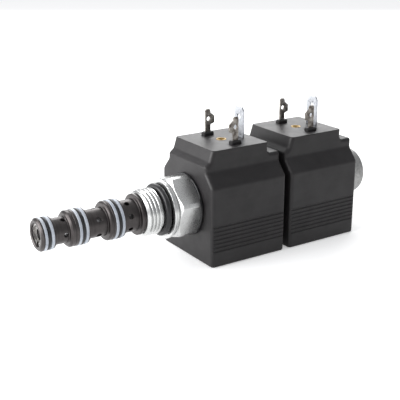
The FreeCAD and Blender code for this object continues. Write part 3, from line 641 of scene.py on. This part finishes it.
def hex_radius(angle):
    """The hexagon's surface at an angle in degrees, with its corners turned down."""
    off = (angle - HEX_TURN + 30 + 30) % 60 - 30
    flat = HEX_HALF / math.cos(math.radians(off))
    soft = 0.02
    gap = HEX_ROUND_R - flat
    return HEX_ROUND_R - (gap + math.sqrt(gap * gap + soft * soft)) / 2


def thread_period():
    """One pitch of the thread, as (distance along, radius) from the middle of a crest."""
    crest, root = 0.14, 0.1
    half = THREAD_PITCH / 2
    drop = THREAD_R - THREAD_ROOT_R
    flank = half - root - crest - 0.1
    keys = [(0, THREAD_R), (crest, THREAD_R), (crest + 0.05, THREAD_R - 0.04)]
    for share in (0.35, 0.65):
        keys.append((crest + 0.05 + flank * share, THREAD_R - 0.04 - (drop - 0.08) * share))
    keys += [(half - root - 0.05, THREAD_ROOT_R + 0.04), (half - root, THREAD_ROOT_R)]
    mirrored = [(THREAD_PITCH - u, r) for u, r in reversed(keys[1:])]
    return keys + mirrored


def adapter():
    period = thread_period()
    turns = math.ceil((THREAD_END_X - THREAD_START_X) / THREAD_PITCH) + 2
    start_r = THREAD_R - THREAD_CHAMFER
    end_r = THREAD_ROOT_R - 0.03
    angles, first = hex_angles()
    columns = []
    for a in angles:
        column = [(THREAD_START_X, SPIGOT_R)]
        for m in range(-1, turns):
            for u, r in period:
                x = THREAD_START_X + THREAD_PITCH * (m + a / FULL_TURN) + u
                x = min(max(x, THREAD_START_X), THREAD_END_X)
                limit = min(start_r + x - THREAD_START_X, end_r + (THREAD_END_X - x) * 1.6)
                column.append((x, min(r, limit)))
        flat = hex_radius(math.degrees(a + first))
        chamfer_x = HEX_START_X + (flat - HEX_HALF + HEX_FACE_INSET) / HEX_FRONT_SLOPE
        back_r = min(flat, HEX_ROUND_R - HEX_REAR_DEPTH)
        back_x = HEX_END_X - (flat - back_r) / HEX_REAR_SLOPE
        rest = [
            (THREAD_END_X, RELIEF_R, 0.2),
            (SEAT_RECESS_DEPTH, RELIEF_R, 0.2),
            (SEAT_RECESS_DEPTH, SEAT_RECESS_R, 0.02),
            (0, SEAT_RECESS_R, 0.02),
            (0, COLLAR_R, 0.12),
            (COLLAR_LENGTH, COLLAR_R, 0.15),
            (COLLAR_LENGTH, COLLAR_GROOVE_R, 0.1),
            (HEX_START_X, COLLAR_GROOVE_R, 0.06),
            (HEX_START_X, HEX_HALF - HEX_FACE_INSET, 0.1),
            (chamfer_x, flat, 0.12),
            (back_x, flat, 0),
            (HEX_END_X, back_r, 0),
            (HEX_END_X, BOSS_R, 0.1),
            (BOSS_END_X, BOSS_R, 0.15),
            (BOSS_END_X, TUBE_R, 0.1),
            (TUBE_START_X, TUBE_R, 0),
            (TUBE_START_X, SPOOL_BORE_R + 0.3, 0.1),
            (SPIGOT_END_X, SPOOL_BORE_R + 0.3, 0.1),
            (SPIGOT_END_X, SPIGOT_R, 0),
        ]
        column += rounded([(THREAD_END_X, end_r, 0)] + rest, False)[1:]
        columns.append(column)
    made = revolve(columns, angles, True)
    made.transform(Matrix.Rotation(first, 4, "X"))
    return made


# ---- coils --------------------------------------------------------------------------------------
def flat_blade(outline, hole_place, edge=0.07):
    """A stamped blade in the XZ plane with broken edges, from (across, height, round) corners."""
    hole_across, hole_height, hole_r = hole_place
    bm = bmesh.new()
    height = BLOCK_TOP
    outer = rounded([(u, h + height, r) for u, h, r in outline], True, 4)
    hole = []
    for i in range(28):
        a = FULL_TURN * i / 28
        hole.append((hole_across + hole_r * math.cos(a), height + hole_height + hole_r * math.sin(a)))
    edges = []
    for loop in (outer, hole):
        verts = [bm.verts.new((u * MM, -BLADE / 2 * MM, h * MM)) for u, h in loop]
        for i, vert in enumerate(verts):
            edges.append(bm.edges.new((vert, verts[(i + 1) % len(verts)])))
    bmesh.ops.remove_doubles(bm, verts=bm.verts, dist=2e-7)
    bmesh.ops.triangle_fill(bm, use_beauty=True, edges=[e for e in edges if e.is_valid])
    sheet = list(bm.faces)
    raised = bmesh.ops.extrude_face_region(bm, geom=sheet)
    moved = [v for v in raised["geom"] if isinstance(v, bmesh.types.BMVert)]
    bmesh.ops.translate(bm, verts=moved, vec=(0, BLADE * MM, 0))
    bmesh.ops.recalc_face_normals(bm, faces=bm.faces)
    rims = [e for e in bm.edges if len(e.link_faces) == 2 and e.calc_face_angle(0) > math.radians(80)
            and abs(e.verts[0].co.y - e.verts[1].co.y) < 1e-7]
    bmesh.ops.bevel(
        bm, geom=rims, offset=edge * MM, segments=2, profile=0.6, affect="EDGES", clamp_overlap=True)
    return bm


POWER_OUTLINE = (
    (-1.9, -TAIL, 0),
    (0.5, -TAIL, 0),
    (0.5, 4.4, 0.3),
    (2.4, 5.0, 0.4),
    (2.4, 7.9, 0.4),
    (0.5, 9.4, 0.3),
    (0.5, 10.2, 0.2),
    (-0.1, 11.0, 0.2),
    (-1.3, 11.0, 0.2),
    (-1.9, 10.2, 0.2),
)
EARTH_OUTLINE = (
    (-1.8, -TAIL, 0),
    (1.8, -TAIL, 0),
    (1.8, -0.2, 0),
    (3.15, -0.2, 0.3),
    (3.15, 11.0, 0.4),
    (1.9, 12.6, 0.4),
    (-1.9, 12.6, 0.4),
    (-3.15, 11.0, 0.4),
    (-3.15, -0.2, 0.3),
    (-1.8, -0.2, 0),
)


def screw_insert():
    """A brass insert with a real M3 thread, its axis along +X and its top at x = 0."""
    pitch = 0.5
    bore, root = 1.25, 1.52
    top, bottom = -0.45, -6.7
    turns = math.ceil((top - bottom) / pitch) + 2
    count = 48
    angles = even_angles(count)
    period = [(0, bore), (0.1, bore), (0.24, root), (0.28, root), (0.42, bore)]
    columns = []
    for a in angles:
        column = []
        for m in range(-1, turns):
            for u, r in period:
                x = min(max(bottom + pitch * (m + a / FULL_TURN) + u, bottom), top)
                limit = bore + min(x - bottom, top - x) * 0.7
                column.append((x, min(r, limit)))
        shell = rounded([
            (top, bore, 0),
            (0, 1.7, 0.08),
            (0, INSERT_R, 0.1),
            (-3.2, INSERT_R, 0.1),
            (-3.4, INSERT_R - 0.3, 0.1),
            (-3.6, INSERT_R - 0.3, 0.1),
            (-3.8, INSERT_R, 0.1),
            (-7.0, INSERT_R, 0.15),
            (-7.0, 1.4, 0.08),
            (bottom, bore, 0),
        ], False)
        columns.append(column + shell[1:-1])
    return revolve(columns, angles, True)


def add_coil_metal(number, front):
    """The blades and the screw insert of one coil."""
    body = f"coil_{number}"
    x = front + INSERT_X
    for turn, word in ((0, "left"), (math.pi, "right")):
        # the power blades take tinned_brass, darkened with painted shade; the earth blade below takes the
        # lighter tin
        blade = flat_blade(POWER_OUTLINE, POWER_HOLE)
        blade.transform(Matrix.Translation((0, BLADE_REACH * MM, 0)))
        blade.transform(Matrix.Translation((x * MM, 0, 0)) @ Matrix.Rotation(turn, 4, "Z"))
        add_piece(f"{body}_{word}_terminal", blade, body, "tinned_brass", [f"{body}_{word}_power_blade"])
    blade = flat_blade(EARTH_OUTLINE, EARTH_HOLE)
    blade.transform(Matrix.Translation(((x + BLADE_REACH) * MM, 0, 0)) @ Matrix.Rotation(math.pi / 2, 4, "Z"))
    add_piece(f"{body}_earth_terminal", blade, body, "tinned_brass", [f"{body}_earth_blade"], EARTH_TIN)
    insert = screw_insert()
    insert.transform(upright(x, 0, BLOCK_TOP + INSERT_PROUD))
    add_piece(f"{body}_insert", insert, body, "brass", [f"{body}_screw_insert"])


# ---- coil nut -----------------------------------------------------------------------------------
def coil_nut():
    """Closed nut with shallow flutes that start in a ball end, and a rounded end."""
    sector = 360 / NUT_FLUTES
    half = [0, 1.0, 1.9, 2.5, 2.75, 2.86, 3.1, 4.0]
    offsets = [-o for o in reversed(half[1:])] + half + [sector / 2]
    angles = [math.radians(sector * i + o) for i in range(NUT_FLUTES) for o in offsets]
    first = angles[0]
    spread = [a - first for a in angles] + [FULL_TURN]
    steps = 8
    cap = NUT_CAP
    end_r = NUT_R - NUT_TAPER
    flank_x = NUT_START_X + NUT_FLANK_START
    flank = NUT_END_X - cap - NUT_START_X - NUT_FLANK_START
    outer = [(NUT_START_X + 0.5, NUT_R)]
    for i in range(13):
        share = i / 12
        outer.append((flank_x + flank * share, NUT_R - NUT_TAPER * share))
    for i in range(1, steps + 1):
        a = math.pi / 2 * i / steps
        outer.append((NUT_END_X - cap + cap * math.sin(a), end_r - cap + cap * math.cos(a)))
    flute_r = NUT_R + FLUTE_OUT
    groove_floor_r, groove_wall_r = NUT_GROOVE_R
    columns = []
    for a in spread:
        off = (math.degrees(a + first) + sector / 2) % sector - sector / 2
        across = flute_r * math.sin(math.radians(off))
        column = [
            (NUT_START_X, groove_wall_r),
            (NUT_START_X, NUT_R - 0.45),
            (NUT_START_X + 0.14, NUT_R - 0.15),
        ]
        for x, r in outer:
            ramp = min(max((x - NUT_START_X - 0.9) / 1.2, 0), 1)
            if abs(across) < FLUTE_R and ramp > 0:
                groove = flute_r * math.cos(math.radians(off)) - math.sqrt(FLUTE_R ** 2 - across * across)
                groove += 0.35 * (1 - ramp) ** 2
                r = min(r, groove)
            column.append((x, r))
        column += [
            (NUT_END_X, 0),
            (NUT_STUD_BORE_END_X, 0),
            (NUT_STUD_BORE_END_X, NUT_STUD_BORE_R),
            (NUT_TUBE_BORE_END_X, NUT_STUD_BORE_R),
            (NUT_TUBE_BORE_END_X, NUT_TUBE_BORE_R),
            (NUT_START_X, NUT_TUBE_BORE_R),
            (NUT_START_X, groove_floor_r),
            (NUT_GROOVE_END_X, groove_floor_r),
            (NUT_GROOVE_END_X, groove_wall_r),
        ]
        columns.append(column)
    bm = revolve(columns, spread, True)
    bm.transform(Matrix.Rotation(first, 4, "X"))
    return bm


# ---- centring springs ---------------------------------------------------------------------------
def add_spring(node):
    """A centring spring: its CAD node's mesh, as a piece of the cartridge with a mesh of its own."""
    bm = bmesh.new()
    bm.from_mesh(frame["nodes"][node].data)
    piece = add_piece(f"{node}_wire", bm, "cartridge", "spring_steel", [node])
    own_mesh(piece)


# ---- put the pieces in place --------------------------------------------------------------------
add_piece("sleeve", sleeve(), "cartridge", "black_oxide_steel", ["valve_sleeve"])
add_seals()
add_piece("adapter", adapter(), "cartridge", "zinc_plated_steel", ["hex_adapter"])
seat_ring = o_ring(-SEAT_RING / 2, RELIEF_R + SEAT_RING / 2, SEAT_RING, 0.05)
add_piece("seat_ring", seat_ring, "cartridge", "nitrile_rubber", ["seat_o_ring"])
for number, front in enumerate(COIL_FRONTS, start=1):
    add_coil_metal(number, front)
add_piece("end_nut", coil_nut(), "coil_nut", "matt_aluminium", ["coil_nut"])
add_spring("nose_spring")
add_spring("tail_spring")


# ---- floor, light and camera --------------------------------------------------------------------
CAMERA_LENS = 73.1
CAMERA_PLACE = (-0.1548, -0.2672, 0.1101)
CAMERA_VIEW = (0.5163, 0.7920, -0.3259)
FLOOR_GLOW = 0.3
WORLD_STRENGTH = 0.6


def add_floor():
    mesh = bpy.data.meshes.new("floor")
    size = 6.0
    z = cad_box[0].z - FLOOR_GAP * MM
    corners = [(-size, -size, z), (size, -size, z), (size, size, z), (-size, size, z)]
    mesh.from_pydata(corners, [], [(0, 1, 2, 3)])
    floor = bpy.data.objects.new("floor", mesh)
    bpy.context.scene.collection.objects.link(floor)
    s = Shader("floor_paper", (0.9, 0.9, 0.9), 0.0, 0.9, 0.1)
    s.bsdf.inputs["Emission Color"].default_value = (1, 1, 1, 1)
    s.bsdf.inputs["Emission Strength"].default_value = FLOOR_GLOW
    floor.data.materials.append(s.material)


def add_light(name, place, target, size, power):
    light = bpy.data.lights.new(name, "AREA")
    light.shape = "RECTANGLE"
    light.size, light.size_y = size
    light.energy = power
    holder = bpy.data.objects.new(name, light)
    bpy.context.scene.collection.objects.link(holder)
    holder.location = place
    holder.rotation_mode = "QUATERNION"
    holder.rotation_quaternion = (Vector(target) - Vector(place)).to_track_quat("-Z", "Y")


def add_camera():
    camera = bpy.data.cameras.new("camera")
    camera.sensor_width = 36
    camera.lens = CAMERA_LENS
    camera.clip_start = 0.01
    camera.clip_end = 50
    holder = bpy.data.objects.new("camera", camera)
    bpy.context.scene.collection.objects.link(holder)
    holder.location = CAMERA_PLACE
    holder.rotation_mode = "QUATERNION"
    holder.rotation_quaternion = Vector(CAMERA_VIEW).to_track_quat("-Z", "Y")
    bpy.context.scene.camera = holder


def add_world():
    world = bpy.data.worlds.new("studio")
    world.use_nodes = True
    background = world.node_tree.nodes["Background"]
    background.inputs["Color"].default_value = (0.97, 0.98, 1.0, 1)
    background.inputs["Strength"].default_value = WORLD_STRENGTH
    bpy.context.scene.world = world


add_floor()
add_world()
add_light("back_softbox", (0.42, 0.62, 0.42), (0.03, 0, 0.0), (0.9, 0.5), 6.0)
add_light("left_softbox", (-0.75, 0.22, 0.25), (0, 0, 0.0), (0.8, 0.6), 14.0)
add_light("top_softbox", (0.0, 0.0, 0.9), (0.03, 0, 0.0), (0.8, 0.8), 1.0)
add_camera()
bpy.context.scene.view_settings.view_transform = "Standard"
